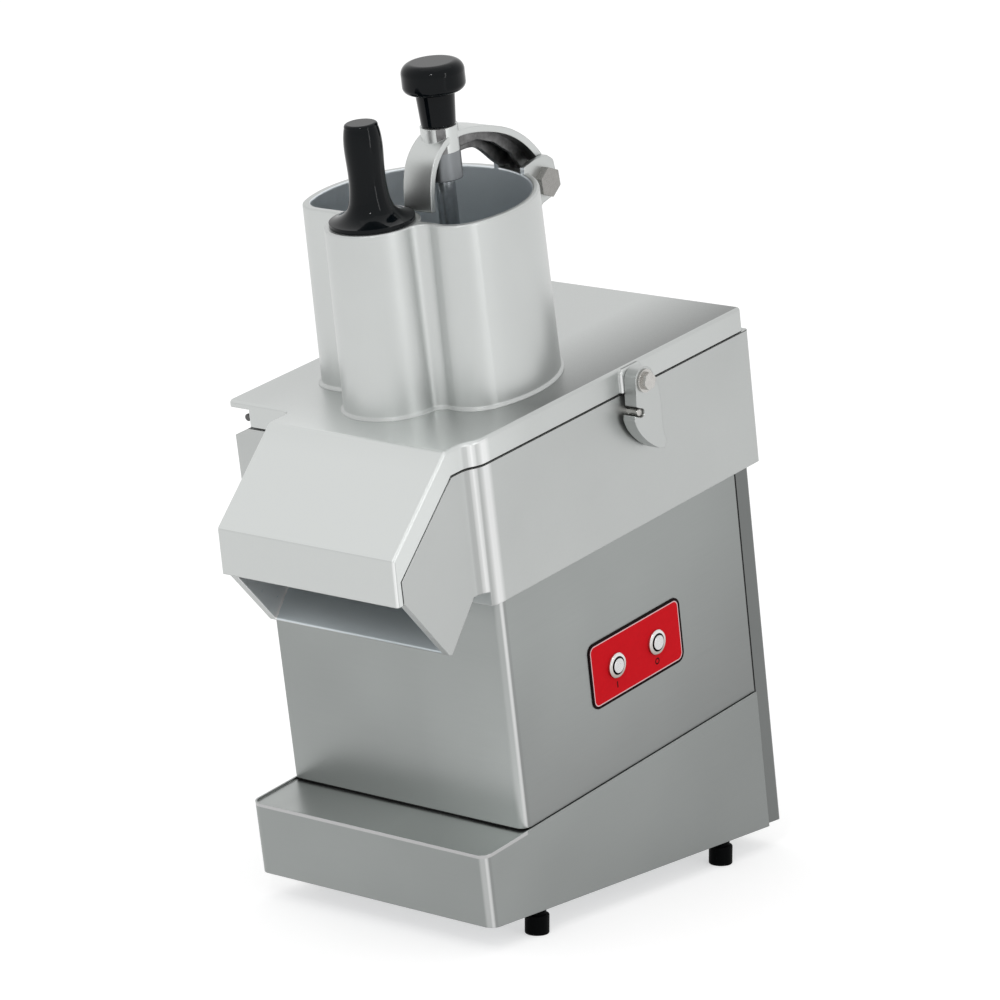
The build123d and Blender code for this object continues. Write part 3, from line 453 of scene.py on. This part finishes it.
def moulded(name, colour, roughness, grain=0.04, gloss=0.5):
    s = Surface(name, colour, 0.0, roughness)
    s.bsdf.inputs["Specular IOR Level"].default_value = gloss
    fine = s.noise(500, 3, 0.5)
    s.paint(s.mix(s.spread(fine, 0, 1), shade(colour, 0.9), shade(colour, 1.15)))
    s.rough(fine, roughness, 0.03)
    s.bump(fine, grain, DEEP_RELIEF, 0.0006)
    return s.mat


def control_label(name):
    """Red plate with a black border, a pale line inside it, and marks for on and off."""
    s = Surface(name, LABEL_RED, 0.0, 0.35)
    s.bsdf.inputs["Specular IOR Level"].default_value = 0.03
    over = []
    for direction, middle, half in zip((REAR, UP), PLATE_MID, PLATE_HALF):
        past = s.math("SUBTRACT", s.unsigned(s.along(direction, middle)), half - PLATE_CORNER)
        over.append(s.math("MAXIMUM", past, 0.0))
    depth = s.math("SUBTRACT", PLATE_CORNER, s.length(*over))
    fine = s.noise(300, 3, 0.5)
    look = s.mix(s.spread(fine, 0, 1), shade(LABEL_RED, 0.94), LABEL_RED)
    look = s.mix(s.below(depth, PLATE_LINE), look, LABEL_LINE)
    look = s.mix(s.below(depth, PLATE_BORDER), look, LABEL_BORDER)
    for (v, w), is_ring in ((START, False), (STOP, True)):
        mark_v = s.along(REAR, v)
        mark_w = s.along(UP, w - MARK_DROP)
        if is_ring:
            away = s.math("SUBTRACT", s.length(mark_v, mark_w), RING_RADIUS)
            outside = s.math("SUBTRACT", s.unsigned(away), RING_HALF)
        else:
            outside = s.math("MAXIMUM", s.math("SUBTRACT", s.unsigned(mark_v), BAR_HALF[0]),
                             s.math("SUBTRACT", s.unsigned(mark_w), BAR_HALF[1]))
        look = s.mix(s.below(outside, 0.0), look, LABEL_MARK)
    s.paint(look)
    s.bump(fine, 0.01, RELIEF, 0.0004)
    return s.mat


LOOKS = {
    casting("lid_casting", 0.54, 0.38,
            extra=(lid_light_and_shade, bend_highlight(0.4), shoulder_highlight, seam)): ["lid"],
    casting("chamber_casting", 0.475, 0.40,
            extra=(bend_highlight(0.4), shoulder_highlight, seam, chute_inside)): ["cutting_chamber"],
    casting("arm_casting", 0.60, 0.38, extra=(shaded_underside,)): ["presser_arm"],
    casting("hook_casting", 0.49, 0.38): ["latch_hook"],
    casting("hopper_metal", 0.55, 0.38, grain=0.06, edge=0.0016, extra=(facing_spindle,)): ["hopper"],
    casting("inner_casting", 0.55, 0.42): [
        "presser_plate", "ejector_disc", "bearing_housing", "driven_pulley"],
    sheet_steel("casing_steel", 0.315, 0.36,
                extra=(casing_light_and_shade, bend_highlight(0.45, 0.2), dark_foot, dark_end)): ["motor_casing"],
    sheet_steel("base_steel", 0.30, top=(0.44, 0.46, 0.45),
                extra=(bend_highlight(0.35), rim_highlight)): ["base_housing"],
    sheet_steel("cover_steel", 0.30, extra=(cover_side, dark_end)): ["rear_cover"],
    plain_metal("fastener_steel", 0.54, 0.25, WARM): [
        "latch_bolt", "latch_washer", "catch_pin", "rear_cover_screws", "bearing_screws", "motor_bolts",
        "foot_studs"],
    plain_metal("bolt_steel", 0.32, 0.28, WARM): ["arm_hinge_bolt", "arm_hinge_nut"],
    plain_metal("ground_steel", 0.60, 0.2): [
        "drive_shaft", "motor_shaft", "disc_blades", "motor_pulley", "spindle_bearings", "switch_magnet",
        "cutting_disc"],
    plain_metal("rod_steel", 0.50, 0.2, COOL): ["presser_rod"],
    plain_metal("pin_steel", 0.12, 0.35): ["hinge_pin"],
    plain_metal("zinc_plate", 0.43, 0.4, COOL): ["base_plate", "motor_plate", "motor_standoffs"],
    button_steel("start_ring_steel", START, True): ["start_bezel"],
    button_steel("stop_ring_steel", STOP, True): ["stop_bezel"],
    button_steel("start_cap_steel", START, False): ["start_button"],
    button_steel("stop_cap_steel", STOP, False): ["stop_button"],
    moulded("gloss_black", (0.0022, 0.0034, 0.0044), 0.08, grain=0.008, gloss=0.14): [
        "presser_knob", "pestle"],
    moulded("matt_black", (0.02, 0.02, 0.021), 0.45): [
        "cable_gland", "start_contact_block", "stop_contact_block", "control_box", "lid_switch"],
    moulded("foot_rubber", (0.0018, 0.002, 0.0022), 0.5, grain=0.1, gloss=0.03): ["feet"],
    moulded("belt_rubber", (0.014, 0.014, 0.014), 0.6, 0.1): ["lid_pads", "spindle_seal", "drive_belt"],
    moulded("motor_paint", (0.05, 0.055, 0.06), 0.4): ["motor_body"],
    moulded("capacitor_shell", (0.5, 0.5, 0.47), 0.4): ["capacitor"],
    control_label("control_label"): ["control_plate"],
}
for material, names in LOOKS.items():
    for name in names:
        slots = NODES[name].data.materials
        slots.clear()
        slots.append(material)


def seen_ray(tree):
    """1 for rays from the camera, off gloss and through glass, 0 for light on dull surfaces."""
    path = tree.nodes.new("ShaderNodeLightPath")
    value = path.outputs["Is Camera Ray"]
    for name in ("Is Glossy Ray", "Is Transmission Ray"):
        top = tree.nodes.new("ShaderNodeMath")
        top.operation = "MAXIMUM"
        tree.links.new(value, top.inputs[0])
        tree.links.new(path.outputs[name], top.inputs[1])
        value = top.outputs[0]
    return value


# Floor: pale, with the object's shadow; the eye and gloss see it lighter.
FLOOR_LIFT = 0.52
FLOOR_TONE = 0.6
FLOOR_HALF = 9
floor_mesh = bpy.data.meshes.new("floor")
corners = [(x * FLOOR_HALF, y * FLOOR_HALF, 0) for x, y in ((-1, -1), (1, -1), (1, 1), (-1, 1))]
floor_mesh.from_pydata(corners, [], [(0, 1, 2, 3)])
floor = bpy.data.objects.new("floor", floor_mesh)
scene.collection.objects.link(floor)
floor_look = Surface("floor", grey(FLOOR_TONE), 0, 0.9)
floor_look.bsdf.inputs["Specular IOR Level"].default_value = 0.0
floor_look.bsdf.inputs["Emission Color"].default_value = (1, 1, 1, 1)
lift = floor_look.math("MULTIPLY", seen_ray(floor_look.tree), FLOOR_LIFT)
floor_look.link(lift, floor_look.bsdf.inputs["Emission Strength"])
floor_mesh.materials.append(floor_look.mat)

# World: white to the eye and in gloss; its dull light comes a little more from the front left and above.
SKY_LEVEL = 0.85
SKY_SLANT = (-0.10, -0.20, 0.10)
world = bpy.data.worlds.new("studio")
scene.world = world
world.use_nodes = True
sky = world.node_tree
for old in list(sky.nodes):
    sky.nodes.remove(old)
out = sky.nodes.new("ShaderNodeOutputWorld")
back = sky.nodes.new("ShaderNodeBackground")
back.inputs["Color"].default_value = (1, 1, 1, 1)
towards = sky.nodes.new("ShaderNodeTexCoord")
forward = sky.nodes.new("ShaderNodeVectorMath")
forward.operation = "DOT_PRODUCT"
forward.inputs[1].default_value = SKY_SLANT
sky.links.new(towards.outputs["Generated"], forward.inputs[0])
level = sky.nodes.new("ShaderNodeMath")
level.operation = "ADD"
level.inputs[1].default_value = SKY_LEVEL
sky.links.new(forward.outputs["Value"], level.inputs[0])
choose = sky.nodes.new("ShaderNodeMix")
choose.data_type = "FLOAT"
sky.links.new(seen_ray(sky), choose.inputs[0])
sky.links.new(level.outputs[0], choose.inputs[2])
choose.inputs[3].default_value = 1.0
sky.links.new(choose.outputs[0], back.inputs["Strength"])
sky.links.new(back.outputs[0], out.inputs["Surface"])


def lamp(name, at, aim, size, power):
    data = bpy.data.lights.new(name, "AREA")
    data.shape = "RECTANGLE"
    data.size, data.size_y = size
    data.energy = power
    made = bpy.data.objects.new(name, data)
    scene.collection.objects.link(made)
    made.location = at
    made.rotation_euler = (Vector(aim) - Vector(at)).to_track_quat("-Z", "Y").to_euler()


lamp("key", (1.2, -2.2, 2.3), (0, 0, 0.35), (0.12, 0.12), 7)
lamp("strip", (2.2, -0.3, 0.95), (0, 0, 0.45), (0.15, 1.8), 5)
lamp("top", (0, 0.1, 2.8), (0, 0, 0.3), (2.0, 2.0), 4)

# Camera at the photograph's angle.
AZIMUTH = math.radians(39.26)
PITCH = math.radians(12.61)
EYE = (2.39836, -2.92111, 1.17328)
LENS = 171.71
SENSOR = 36
FAR = 50
camera = bpy.data.objects.new("camera", bpy.data.cameras.new("camera"))
scene.collection.objects.link(camera)
right = Vector((math.cos(AZIMUTH), math.sin(AZIMUTH), 0))
ahead = Vector((-math.sin(AZIMUTH) * math.cos(PITCH),
                math.cos(AZIMUTH) * math.cos(PITCH),
                -math.sin(PITCH)))
turned = Matrix((right, right.cross(ahead), -ahead)).transposed()
camera.matrix_world = Matrix.Translation(EYE) @ turned.to_4x4()
camera.data.sensor_width = SENSOR
camera.data.lens = LENS
camera.data.clip_end = FAR
scene.camera = camera
scene.view_settings.view_transform = "Standard"
